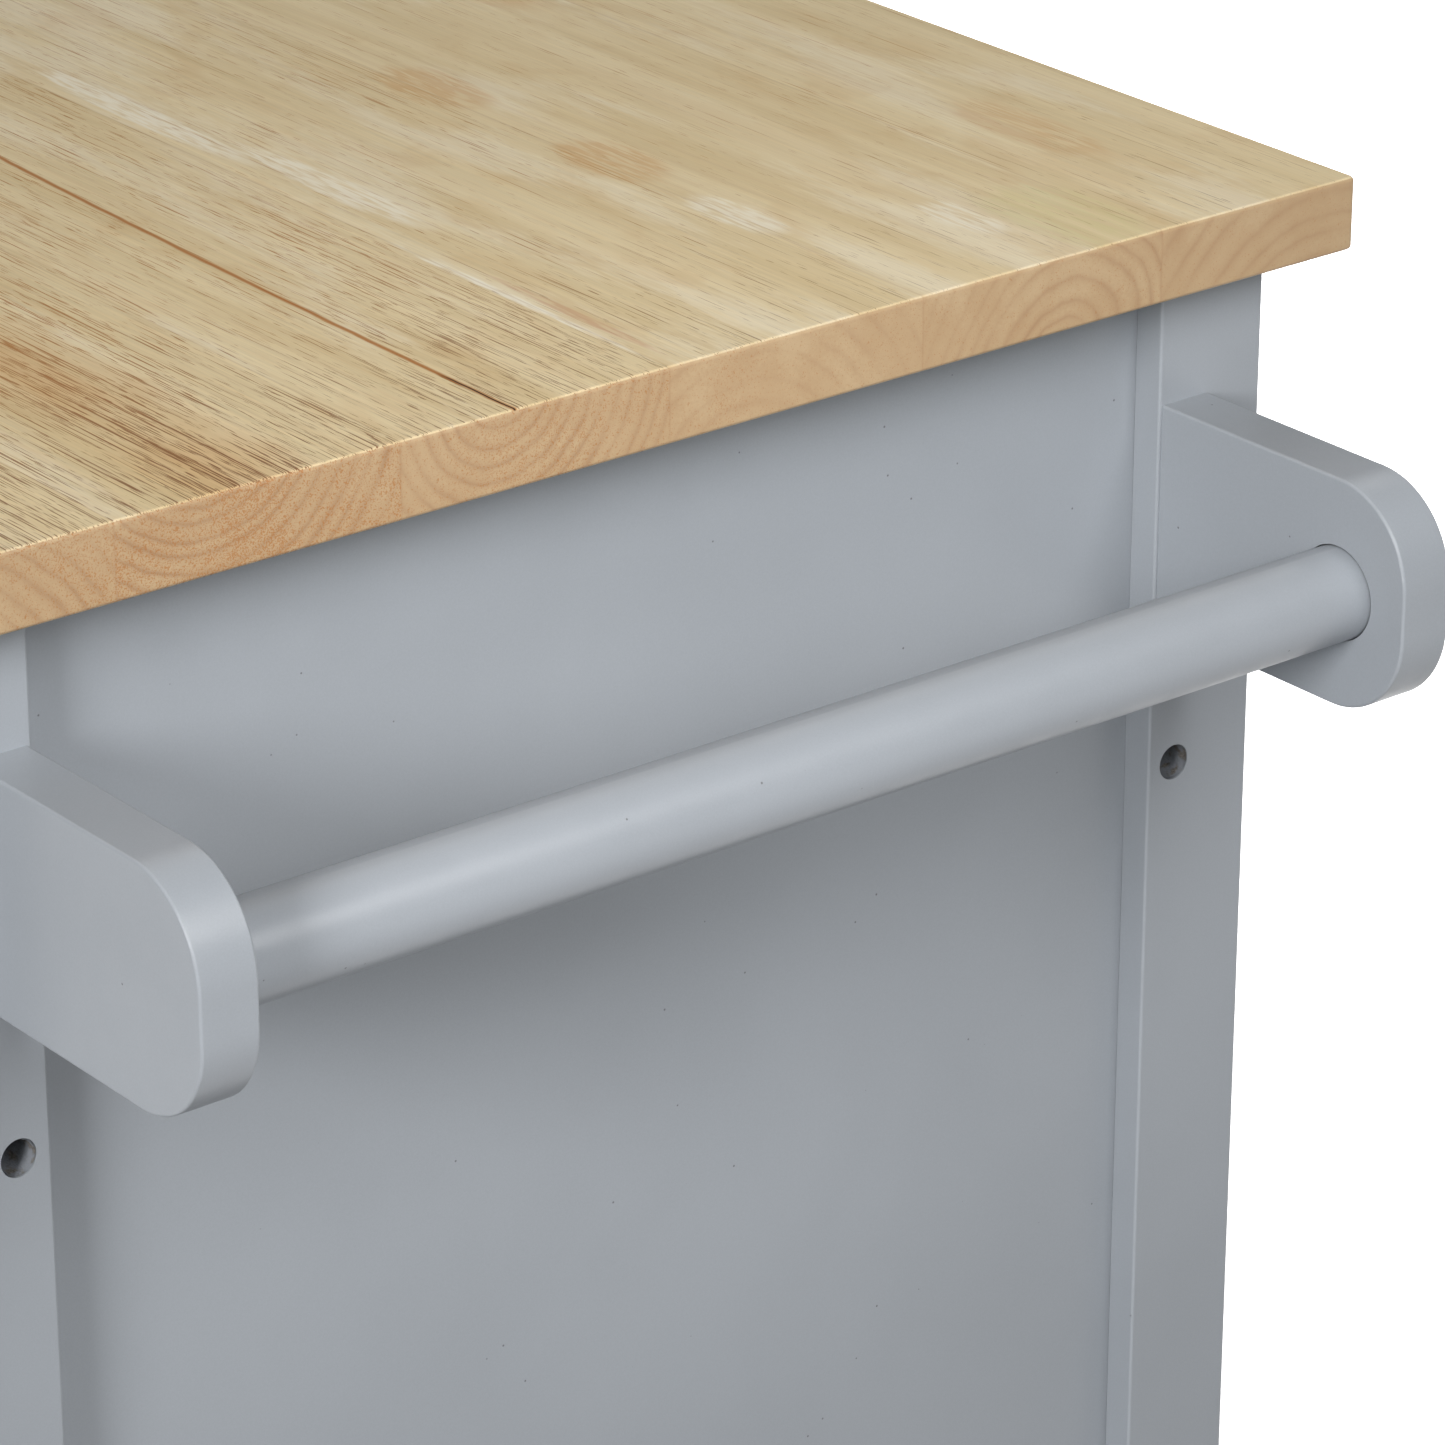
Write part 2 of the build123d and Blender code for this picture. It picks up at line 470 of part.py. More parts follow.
# ---------------------------------------------------------------- drawers
def knob(name, x, level):
    """A turned knob on a front's face, and the screw that holds it from behind."""
    foot = (KNOB_FOOT_RADIUS, KNOB_FOOT)
    tip = (0, KNOB_REACH)
    flare = (0.7, 1)
    with BuildPart() as handle:
        with BuildSketch(Plane(origin=(x, FRONT, level), x_dir=(1, 0, 0), z_dir=(0, 0, -1))):
            with BuildLine():
                Polyline((0, 0), (KNOB_FOOT_RADIUS, 0), foot)
                Spline(foot, KNOB_NECK, KNOB_SHOULDER, tangents=((-0.6, 1), flare))
                Spline(KNOB_SHOULDER, KNOB_WIDEST, tip, tangents=(flare, (-1, 0)))
                Line(tip, (0, 0))
            make_face()
        revolve(axis=Axis((x, FRONT, level), (0, 1, 0)))
        with Locations(facing((x, FRONT, level), (0, 1, 0))):
            Hole(KNOB_SCREW_RADIUS + PIN_PLAY, KNOB_SCREW_DEPTH + 1)
        rod((x, FRONT - KNOB_SCREW_DEPTH, level), (0, 1, 0),
            KNOB_SCREW_RADIUS, KNOB_SCREW_DEPTH + FRONT_THICK)
        rod((x, FRONT + FRONT_THICK, level), (0, 1, 0), KNOB_SCREW_HEAD_RADIUS, KNOB_SCREW_HEAD)
    save(handle, name)


def drawer(side):
    """A drawer: its front, its box and bottom, the rails of its slides, and its knob."""
    name = f"{SIDE_NAME[side]}_drawer"
    x_front = FRONT_X[side]
    partition_face = CENTRE_X + side * BOARD / 2
    box_x = sorted((partition_face + side * SLIDE_THICK, INNER_X[side] - side * SLIDE_THICK))
    inner_x = (box_x[0] + DRAWER_SIDE_THICK, box_x[1] - DRAWER_SIDE_THICK)
    y0 = FRONT + FRONT_THICK
    y1 = y0 + DRAWER_LENGTH
    bottom_low = DRAWER_LOW + DRAWER_BOTTOM_RISE
    bottom_high = bottom_low + DRAWER_BOTTOM_THICK
    knob_level = (DRAWER_FRONT_LOW + DRAWER_FRONT_HIGH) / 2

    with BuildPart() as face:
        slab(x_front - FRONT_WIDTH / 2, x_front + FRONT_WIDTH / 2, FRONT, y0,
             DRAWER_FRONT_LOW, DRAWER_FRONT_HIGH)
        fillet(face.faces().sort_by(Axis.Y)[0].edges(), FRONT_EDGE)
        slab(inner_x[0] - DRAWER_GROOVE, inner_x[1] + DRAWER_GROOVE, y0 - DRAWER_GROOVE, y0,
             bottom_low - GROOVE_PLAY, bottom_high + GROOVE_PLAY, Mode.SUBTRACT)
        with Locations(facing((x_front, FRONT, knob_level), (0, -1, 0))):
            Hole(KNOB_SCREW_HOLE_RADIUS)
    save(face, f"{name}_front")

    with BuildPart() as box:
        slab(box_x[0], inner_x[0], y0, y1, DRAWER_LOW, DRAWER_HIGH)
        slab(inner_x[1], box_x[1], y0, y1, DRAWER_LOW, DRAWER_HIGH)
        slab(inner_x[0] - DRAWER_GROOVE, inner_x[1] + DRAWER_GROOVE, y0, y1,
             bottom_low - GROOVE_PLAY, bottom_high + GROOVE_PLAY, Mode.SUBTRACT)
        slab(inner_x[0] + SEAM, inner_x[1] - SEAM, y1 - DRAWER_SIDE_THICK, y1,
             bottom_high + GROOVE_PLAY, DRAWER_HIGH)
    save(box, f"{name}_box")

    with BuildPart() as bottom:
        tongue = DRAWER_GROOVE - DRAWER_BOTTOM_PLAY
        slab(inner_x[0] - tongue, inner_x[1] + tongue, y0 - tongue, y1, bottom_low, bottom_high)
    save(bottom, f"{name}_bottom")

    with BuildPart() as rails:
        for box_face, way in ((box_x[0], -1), (box_x[1], 1)):
            slide_member(box_face, way, y1 - SLIDE_RAIL_LENGTH, y1,
                         SLIDE_HEIGHT - 2 * SLIDE_WALL - 2 * SLIDE_PLAY, SLIDE_RAIL_FLANGE)
    save(rails, f"{name}_slide_rails")

    knob(f"{name}_knob", x_front, knob_level)


def slide_member(web_face, way, y0, y1, height, reach):
    """A C-shaped slide member: its web lies on web_face and its flanges reach out along way * X."""
    low, high = SLIDE_LEVEL - height / 2, SLIDE_LEVEL + height / 2
    slab(*sorted((web_face, web_face + way * SLIDE_WALL)), y0, y1, low, high)
    for z0, z1 in ((low, low + SLIDE_WALL), (high - SLIDE_WALL, high)):
        slab(*sorted((web_face, web_face + way * reach)), y0, y1, z0, z1)


def slide_channels():
    """The fixed halves of the four drawer slides."""
    with BuildPart() as channels:
        y0 = INSIDE_FRONT + SLIDE_SETBACK
        for side in (-1, 1):
            for face, way in ((CENTRE_X + side * BOARD / 2, side), (INNER_X[side], -side)):
                slide_member(face, way, y0, y0 + SLIDE_LENGTH, SLIDE_HEIGHT, CHANNEL_FLANGE)
    save(channels, "slide_channels")


# ---------------------------------------------------------------- doors and hinges
def door(side):
    """A framed door: its frame, the panel in its grooves, its knob and its hinge leaves."""
    name = f"{SIDE_NAME[side]}_door"
    x = FRONT_X[side]
    x0, x1 = x - FRONT_WIDTH / 2, x + FRONT_WIDTH / 2
    groove_front = FRONT + DOOR_PANEL_RECESS - GROOVE_PLAY
    groove_back = FRONT + DOOR_PANEL_RECESS + DOOR_PANEL_THICK + GROOVE_PLAY
    inner_x = (x0 + DOOR_FRAME_WIDTH, x1 - DOOR_FRAME_WIDTH)
    inner_z = (DOOR_BOTTOM + DOOR_FRAME_WIDTH, DOOR_TOP - DOOR_FRAME_WIDTH)
    knob_level = DOOR_TOP - DOOR_KNOB_DROP
    knob_x = x - side * (FRONT_WIDTH - DOOR_FRAME_WIDTH) / 2

    with BuildPart() as frame:
        for stile_x in ((x0, inner_x[0]), (inner_x[1], x1)):
            slab(*stile_x, FRONT, FRONT + FRONT_THICK, DOOR_BOTTOM, DOOR_TOP)
        fillet(frame.edges().filter_by(Axis.Z), PAINTED_EDGE)
        for low in (DOOR_BOTTOM, inner_z[1]):
            slab(inner_x[0] + SEAM, inner_x[1] - SEAM, FRONT, FRONT + FRONT_THICK,
                 low, low + DOOR_FRAME_WIDTH)
        rail_edges = frame.edges().filter_by(Axis.X).filter_by(lambda edge: edge.length > DOOR_FRAME_WIDTH)
        fillet(rail_edges, PAINTED_EDGE)
        slab(inner_x[0] - DOOR_GROOVE, inner_x[1] + DOOR_GROOVE, groove_front, groove_back,
             inner_z[0] - DOOR_GROOVE, inner_z[1] + DOOR_GROOVE, Mode.SUBTRACT)
        with Locations(facing((knob_x, FRONT, knob_level), (0, -1, 0))):
            Hole(KNOB_SCREW_HOLE_RADIUS, FRONT_THICK)
    save(frame, f"{name}_frame")

    with BuildPart() as panel:
        tongue = DOOR_GROOVE - DOOR_PANEL_PLAY
        slab(inner_x[0] - tongue, inner_x[1] + tongue,
             FRONT + DOOR_PANEL_RECESS, FRONT + DOOR_PANEL_RECESS + DOOR_PANEL_THICK,
             inner_z[0] - tongue, inner_z[1] + tongue)
    save(panel, f"{name}_panel")

    knob(f"{name}_knob", knob_x, knob_level)

    edge_x = x + side * FRONT_WIDTH / 2
    with BuildPart() as leaves:
        for level in HINGE_LEVELS:
            hinge_leaf(side, edge_x, 1, level, middle_knuckle=True)
    save(leaves, f"{name}_hinge_leaves")


def hinge_axis_x(side):
    """The hinge axis stands in the middle of the gap between the door and its post."""
    return INNER_X[side] - side * FRONT_GAP / 2


def hinge_leaf(side, face_x, way, level, middle_knuckle):
    """A leaf lying on face_x, with its knuckles on the hinge axis.

    way is 1 for the leaf on the door's edge, which grows outwards, and -1 for the post's leaf.
    """
    grow = side * way * HINGE_LEAF
    x = sorted((face_x, face_x + grow))
    low, high = level - HINGE_LENGTH / 2, level + HINGE_LENGTH / 2
    third = HINGE_LENGTH / 3
    axis_x = hinge_axis_x(side)
    leaf_front = FRONT + HINGE_STANDOFF
    if middle_knuckle:
        leaf_back = FRONT + FRONT_THICK - 1
        spans = [(low + third + KNUCKLE_GAP, high - third - KNUCKLE_GAP)]
    else:
        leaf_back = FRONT + HINGE_LEAF_WIDTH
        spans = [(low, low + third - KNUCKLE_GAP), (high - third + KNUCKLE_GAP, high)]
    slab(*x, leaf_front, leaf_back, low, high)
    for z0, z1 in spans:
        slab(*x, HINGE_AXIS_Y, leaf_front, z0, z1)
        rod((axis_x, HINGE_AXIS_Y, z0), (0, 0, 1), HINGE_BARREL_RADIUS, z1 - z0)
        with Locations(facing((axis_x, HINGE_AXIS_Y, z1), (0, 0, 1))):
            Hole(HINGE_PIN_RADIUS + PIN_PLAY, z1 - z0)


def cabinet_hinges():
    """The leaves on the posts, and the capped pins of all the hinges."""
    with BuildPart() as leaves:
        for side in (-1, 1):
            for level in HINGE_LEVELS:
                hinge_leaf(side, INNER_X[side], -1, level, middle_knuckle=False)
    save(leaves, "post_hinge_leaves")

    with BuildPart() as pins:
        for side in (-1, 1):
            for level in HINGE_LEVELS:
                x = hinge_axis_x(side)
                low = level - HINGE_LENGTH / 2 - HINGE_CAP_GAP - HINGE_CAP
                high = level + HINGE_LENGTH / 2 + HINGE_CAP_GAP
                rod((x, HINGE_AXIS_Y, low), (0, 0, 1), HINGE_PIN_RADIUS, high + HINGE_CAP - low)
                for cap in (low, high):
                    rod((x, HINGE_AXIS_Y, cap), (0, 0, 1), HINGE_CAP_RADIUS, HINGE_CAP)
    save(pins, "hinge_pins")


def door_catches():
    """Magnet blocks under the middle rail, one behind each door's free corner."""
    high = MID_RAIL_LEVEL - MID_RAIL_HEIGHT / 2
    y0 = FRONT + FRONT_THICK + CATCH_GAP
    with BuildPart() as catches:
        for side in (-1, 1):
            x = CENTRE_X + side * CATCH_FROM_CENTRE
            slab(x - CATCH_LENGTH / 2, x + CATCH_LENGTH / 2, y0, y0 + CATCH_DEPTH,
                 high - CATCH_HEIGHT, high)
        fillet(catches.edges().filter_by(Axis.Z), CATCH_EDGE)
    save(catches, "door_catches")


# ---------------------------------------------------------------- casters
def caster_place(side, depth):
    """A caster's stem stands in the middle of its post."""
    return OUTER_X[side] - side * POST / 2, OUTER_Y[depth] - depth * POST / 2


def caster_stems():
    """The fixed part of each caster: its stem and the race that the fork turns under."""
    with BuildPart() as stems:
        for side in (-1, 1):
            for depth in (-1, 1):
                x, y = caster_place(side, depth)
                race_low = POST_BOTTOM - RACE_HEIGHT
                rod((x, y, race_low - STEM_INTO_FORK), (0, 0, 1), STEM_RADIUS,
                    STEM_INTO_POST + RACE_HEIGHT + STEM_INTO_FORK)
                rod((x, y, race_low), (0, 0, 1), RACE_RADIUS, RACE_HEIGHT)
    save(stems, "caster_stems")


def caster_fork(side, depth):
    """The swivelling fork with its axle; the wheel trails towards the middle of the cabinet."""
    x, y = caster_place(side, depth)
    wheel_x = x - side * CASTER_TRAIL
    top = POST_BOTTOM - RACE_HEIGHT - FORK_CLEARANCE
    half = FORK_GAP / 2 + FORK_WALL
    brake = depth == -1
    heel = x + side * FORK_HEEL
    toe = wheel_x - side * (FORK_BRAKE_TOE if brake else FORK_TOE)
    with BuildPart() as fork:
        with BuildSketch(Plane(origin=(0, y + half, 0), x_dir=(1, 0, 0), z_dir=(0, -1, 0))):
            with BuildLine():
                Polyline((toe, top), (heel, top), (heel, top - FORK_SKIRT),
                         (x + side * FORK_WAIST, top - FORK_WAIST_DROP),
                         (wheel_x + side * FORK_BOSS, WHEEL_RADIUS), (wheel_x, WHEEL_RADIUS - FORK_BOSS),
                         (wheel_x - side * FORK_BOSS, WHEEL_RADIUS), (toe, top - FORK_SKIRT), (toe, top))
            make_face()
        extrude(amount=2 * half)
        fillet(fork.edges().filter_by(Axis.X).group_by(Axis.Z)[-1], FORK_WALL)
        slab(*sorted((heel, wheel_x - side * WHEEL_RADIUS)), y - FORK_GAP / 2, y + FORK_GAP / 2,
             0, top - FORK_WALL, Mode.SUBTRACT)
        with Locations(facing((x, y, top), (0, 0, 1))):
            Hole(STEM_RADIUS + PIN_PLAY, STEM_INTO_FORK + FORK_WALL)
        with Locations(facing((wheel_x, y - half, WHEEL_RADIUS), (0, -1, 0))):
            Hole(AXLE_RADIUS, 2 * half)
        rod((wheel_x, y - half - AXLE_END, WHEEL_RADIUS), (0, 1, 0), AXLE_RADIUS, 2 * (half + AXLE_END))
        for start, radius in ((y - half - AXLE_END, AXLE_HEAD_RADIUS), (y + half, AXLE_RIVET_RADIUS)):
            rod((wheel_x, start, WHEEL_RADIUS), (0, 1, 0), radius, AXLE_END)
        if brake:
            pivot_x, pivot_z = pedal_pivot(side)
            rod((pivot_x, y - half - PEDAL_PIN_END, pivot_z), (0, 1, 0),
                PEDAL_PIN_RADIUS, 2 * (half + PEDAL_PIN_END))
    save(fork, f"{DEPTH_NAME[depth]}_{SIDE_NAME[side]}_caster_fork")


def caster_wheel(side, depth):
    """A solid rubber wheel with a rounded tread and a recess round its hub on both faces."""
    x, y = caster_place(side, depth)
    wheel_x = x - side * CASTER_TRAIL
    with BuildPart() as wheel:
        with BuildSketch(Plane(origin=(wheel_x, y - WHEEL_WIDTH / 2, WHEEL_RADIUS), z_dir=(0, 1, 0))):
            Circle(WHEEL_RADIUS)
            Circle(AXLE_RADIUS + PIN_PLAY, mode=Mode.SUBTRACT)
        extrude(amount=WHEEL_WIDTH)
        rims = wheel.edges().filter_by(GeomType.CIRCLE).filter_by(lambda e: e.radius > WHEEL_RADIUS - 1)
        fillet(rims, TYRE_ROUNDING)
        for face_y, way in ((y - WHEEL_WIDTH / 2, 1), (y + WHEEL_WIDTH / 2, -1)):
            with BuildSketch(Plane(origin=(wheel_x, face_y, WHEEL_RADIUS), z_dir=(0, way, 0))):
                Circle(HUB_RADIUS)
                Circle(AXLE_RADIUS + HUB_WEB, mode=Mode.SUBTRACT)
            extrude(amount=HUB_RECESS, mode=Mode.SUBTRACT)
    save(wheel, f"{DEPTH_NAME[depth]}_{SIDE_NAME[side]}_caster_wheel")


def pedal_pivot(side):
    """Where the brake pedal's pin crosses the fork: just outside the tyre, on the trailing side."""
    x, _ = caster_place(side, -1)
    radius = WHEEL_RADIUS + PEDAL_OFF_TYRE
    angle = radians(PEDAL_PIVOT_ANGLE)
    return x - side * (CASTER_TRAIL + radius * cos(angle)), WHEEL_RADIUS + radius * sin(angle)


def brake_pedal(side):
    """The lever of a front caster's brake: a tread to step on, and a heel that meets the tyre."""
    _, y = caster_place(side, -1)
    pivot_x, pivot_z = pedal_pivot(side)
    heel, root, tread, sole = (-3.5, 2), (4, 4.2), (PEDAL_REACH, 2.5), 0
    shoe = ((12, sole), (5, -3.5), (-2, -3.5))
    outline = [heel, root, tread, (PEDAL_REACH + 1, sole), *shoe, heel]
    with BuildPart() as pedal:
        with BuildSketch(Plane(origin=(pivot_x, y + PEDAL_WIDTH / 2, pivot_z),
                               x_dir=(1, 0, 0), z_dir=(0, -1, 0))):
            with BuildLine():
                Polyline([(-side * along, up) for along, up in outline])
            make_face()
        extrude(amount=PEDAL_WIDTH)
        with Locations(facing((pivot_x, y - PEDAL_WIDTH / 2, pivot_z), (0, -1, 0))):
            Hole(PEDAL_PIN_RADIUS + PIN_PLAY, PEDAL_WIDTH)
    save(pedal, f"{SIDE_NAME[side]}_brake_pedal")


# ---------------------------------------------------------------- build everything
worktop()
for x_side in (-1, 1):
    for y_side in (-1, 1):
        corner_post(x_side, y_side)
        caster_fork(x_side, y_side)
        caster_wheel(x_side, y_side)
    brake_pedal(x_side)
    drawer(x_side)
    door(x_side)
long_rails("top_rails", TOP_RAIL_DOWEL_LEVEL, TOP_RAIL_HEIGHT)
long_rails("mid_rails", MID_RAIL_LEVEL, MID_RAIL_HEIGHT)
long_rails("bottom_rails", BOTTOM_RAIL_LEVEL, BOTTOM_RAIL_HIGH - BOTTOM_RAIL_LOW)
end_panels_and_rails()
boards()
shelf_pins()
rail_fasteners()
top_fixings()
towel_bar()
slide_channels()
cabinet_hinges()
door_catches()
caster_stems()
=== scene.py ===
"""Looks for the kitchen cart with a butcher block top: materials, light and camera.

Every CAD node keeps its own shape.  This script gives each one a material made of nodes, lines the
connector holes with rough board, and sets a plain pale studio round the cart.
"""

import json
from math import cos, radians, sin, tau

import bmesh
import bpy
from mathutils import Matrix, Vector, noise


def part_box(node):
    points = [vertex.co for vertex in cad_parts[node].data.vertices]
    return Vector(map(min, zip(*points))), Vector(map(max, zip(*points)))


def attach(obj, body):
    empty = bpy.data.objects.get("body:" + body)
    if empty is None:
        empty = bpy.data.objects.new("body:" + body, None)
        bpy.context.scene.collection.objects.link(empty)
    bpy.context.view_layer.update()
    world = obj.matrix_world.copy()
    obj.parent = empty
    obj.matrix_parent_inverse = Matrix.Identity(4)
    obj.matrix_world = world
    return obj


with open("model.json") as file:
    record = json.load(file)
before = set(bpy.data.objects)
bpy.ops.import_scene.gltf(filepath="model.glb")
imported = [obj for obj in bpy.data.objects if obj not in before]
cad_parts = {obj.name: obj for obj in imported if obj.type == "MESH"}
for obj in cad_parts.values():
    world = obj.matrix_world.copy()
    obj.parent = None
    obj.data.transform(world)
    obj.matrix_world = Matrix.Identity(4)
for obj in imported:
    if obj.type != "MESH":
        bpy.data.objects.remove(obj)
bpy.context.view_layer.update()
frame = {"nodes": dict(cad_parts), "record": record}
NODES = frame["nodes"]
MM = 0.001

TOP_LOW, TOP_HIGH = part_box("butcher_block_top")
CORNER = TOP_HIGH.copy()


# ---------------------------------------------------------------- a short way to write node trees
def srgb(r, g, b):
    """Linear colour of an 8-bit sRGB colour."""
    def linear(value):
        value /= 255
        return value / 12.92 if value <= 0.04045 else ((value + 0.055) / 1.055) ** 2.4
    return linear(r), linear(g), linear(b), 1.0


class Graph:
    """One material's node tree, with a short method for each kind of node that is used here."""

    def __init__(self, name):
        self.material = bpy.data.materials.new(name)
        self.material.use_nodes = True
        self.nodes = self.material.node_tree.nodes
        self.links = self.material.node_tree.links
        self.nodes.clear()
        self.shader = self.nodes.new("ShaderNodeBsdfPrincipled")
        output = self.nodes.new("ShaderNodeOutputMaterial")
        self.links.new(self.shader.outputs["BSDF"], output.inputs["Surface"])
        coordinates = self.nodes.new("ShaderNodeTexCoord")
        self.place = coordinates.outputs["Object"]
        self.normal = coordinates.outputs["Normal"]
        self.place_mm = self.stretch(self.place, (1 / MM,) * 3)

    def put(self, socket, value):
        """Links value to a socket, or sets it when it is a plain number, colour or vector."""
        if isinstance(value, bpy.types.NodeSocket):
            self.links.new(value, socket)
        else:
            socket.default_value = value

    def math(self, operation, a, b=0.0, c=0.0):
        node = self.nodes.new("ShaderNodeMath")
        node.operation = operation
        for socket, value in zip(node.inputs, (a, b, c)):
            self.put(socket, value)
        return node.outputs[0]

    def add(self, a, b):
        return self.math("ADD", a, b)

    def times(self, a, b):
        return self.math("MULTIPLY", a, b)

    def less(self, a, b):
        return self.math("LESS_THAN", a, b)

    def size(self, value):
        """The value without its sign."""
        return self.math("ABSOLUTE", value)

    def centred(self, value):
        """A 0 to 1 value as -0.5 to 0.5."""
        return self.add(value, -0.5)

    def split(self, vector):
        node = self.nodes.new("ShaderNodeSeparateXYZ")
        self.put(node.inputs[0], vector)
        return node.outputs

    def join(self, x, y, z):
        node = self.nodes.new("ShaderNodeCombineXYZ")
        for socket, value in zip(node.inputs, (x, y, z)):
            self.put(socket, value)
        return node.outputs[0]

    def stretch(self, vector, scale, shift=(0.0, 0.0, 0.0)):
        node = self.nodes.new("ShaderNodeMapping")
        self.put(node.inputs["Vector"], vector)
        node.inputs["Scale"].default_value = scale
        node.inputs["Location"].default_value = shift
        return node.outputs[0]

    def noise(self, vector, scale=1.0, detail=3.0, roughness=0.5, distortion=0.0):
        node = self.nodes.new("ShaderNodeTexNoise")
        self.put(node.inputs["Vector"], vector)
        node.inputs["Scale"].default_value = scale
        node.inputs["Detail"].default_value = detail
        node.inputs["Roughness"].default_value = roughness
        node.inputs["Distortion"].default_value = distortion
        return node.outputs["Fac"]

    def cells(self, vector, scale=1.0):
        """Distance to the nearest cell's point, and a random colour for each cell."""
        node = self.nodes.new("ShaderNodeTexVoronoi")
        self.put(node.inputs["Vector"], vector)
        node.inputs["Scale"].default_value = scale
        return node.outputs["Distance"], node.outputs["Color"]

    def remap(self, value, low, high, to_low=0.0, to_high=1.0, smooth=True):
        node = self.nodes.new("ShaderNodeMapRange")
        node.interpolation_type = "SMOOTHSTEP" if smooth else "LINEAR"
        for socket, number in zip(node.inputs, (value, low, high, to_low, to_high)):
            self.put(socket, number)
        return node.outputs[0]

    def ramp(self, value, stops, interpolation="LINEAR"):
        """A colour ramp; stops are (position, colour) pairs."""
        node = self.nodes.new("ShaderNodeValToRGB")
        self.put(node.inputs[0], value)
        node.color_ramp.interpolation = interpolation
        elements = node.color_ramp.elements
        while len(elements) > 1:
            elements.remove(elements[-1])
        elements[0].position, elements[0].color = stops[0]
        for position, colour in stops[1:]:
            elements.new(position).color = colour
        return node.outputs["Color"]

    def mix(self, amount, a, b, blend="MIX"):
        node = self.nodes.new("ShaderNodeMix")
        node.data_type = "RGBA"
        node.blend_type = blend
        factor, first, second = node.inputs[0], node.inputs[6], node.inputs[7]
        self.put(factor, amount)
        self.put(first, a)
        self.put(second, b)
        return node.outputs[2]

    def shaded(self, colour, level):
        """The colour made darker or lighter by a grey level round 1."""
        return self.mix(1.0, colour, self.join(level, level, level), "MULTIPLY")

    def bump(self, height, distance, strength=1.0):
        node = self.nodes.new("ShaderNodeBump")
        node.inputs["Strength"].default_value = strength
        node.inputs["Distance"].default_value = distance
        self.put(node.inputs["Height"], height)
        return node.outputs[0]

    def finish(self, colour, roughness, normal=None, metallic=0.0, specular=0.5, glow=0.0):
        self.put(self.shader.inputs["Base Color"], colour)
        self.put(self.shader.inputs["Roughness"], roughness)
        self.shader.inputs["Metallic"].default_value = metallic
        self.shader.inputs["Specular IOR Level"].default_value = specular
        self.shader.inputs["Emission Color"].default_value = (1.0, 1.0, 1.0, 1.0)
        self.shader.inputs["Emission Strength"].default_value = glow
        if normal is not None:
            self.put(self.shader.inputs["Normal"], normal)
        return self.material


# ---------------------------------------------------------------- materials
STAVE_PITCH = 79.5
FIRST_GLUE_LINE = TOP_LOW.y / MM + 66
# The staves from the front.  The first three numbers are where the rings centre, across and up in
# mm from the stave's middle, and their spacing.  Then come how many pores show, how cream the wood
# is and how strongly the rings show.
STAVES = [
    (-22, -46, 4.6, 0.90, 0.35, 0.75),
    (-14, 30, 4.2, 1.00, 0.15, 0.95),
    (-10, 16, 4.4, 0.75, 0.45, 0.80),
    (-16, -30, 6.0, 0.50, 0.55, 0.45),
    (6, -17, 5.0, 0.34, 0.50, 0.70),
    (16, -44, 6.5, 0.26, 0.40, 0.50),
]
# Marks on the top: place along X and Y, half length and half width in mm, colour and strength.
CREAM, FLECK, MOTTLE, MOSS = (250, 242, 222), (196, 138, 96), (208, 160, 100), (214, 204, 140)
MARKS = [
    (110, 4, 70, 11, CREAM, 0.60),
    (225, 12, 62, 7, CREAM, 0.60),
    (305, 18, 48, 6, CREAM, 0.55),
    (404, 3.4, 58, 1.8, CREAM, 0.70),
    (420, 8.5, 40, 2.2, FLECK, 0.40),
    (386, 85, 22, 7, CREAM, 0.55),
    (424, 128, 18, 8, CREAM, 0.50),
    (254, 87, 26, 12, MOTTLE, 0.45),
    (332, 86, 24, 12, MOTTLE, 0.45),
    (180, 150, 40, 16, MOTTLE, 0.35),
    (380, 190, 34, 12, MOTTLE, 0.35),
    (438, 152, 30, 20, MOSS, 0.30),
]
# Table values are packed into colour ramps, which only hold 0 to 1: these are the spans they cover.
PITH_SPAN, SPACING_SPAN = 100.0, 10.0
BAND_Y = -117.0            # middle of the browner band in the second stave
BAND_HALF_WIDTH = 17.0
SEAM_FROM_BACK = 273.0     # where the mineral streak meets the worktop's end
SEAM_CURVE = 1.05e-4       # how fast it bends away from the grain, per mm
SEAM_START_X, SEAM_FULL_X = 120.0, 200.0
CRACK_LENGTH = 24.0
# Three sizes of pore: length and pitch in mm, and an offset so that they don't coincide.
PORES = ((24.0, 0.42, 0.0), (44.0, 0.54, 40.0), (9.0, 0.36, 90.0))


def stave_table(g, number, columns, pack):
    """Three columns of STAVES, looked up by the stave's number and split into values."""
    which = g.times(g.add(number, 1.5), 1 / len(STAVES))
    stops = [(k / len(STAVES), (*pack(*(row[column] for column in columns)), 1.0))
             for k, row in enumerate(STAVES)]
    return g.split(g.ramp(which, stops, "CONSTANT"))


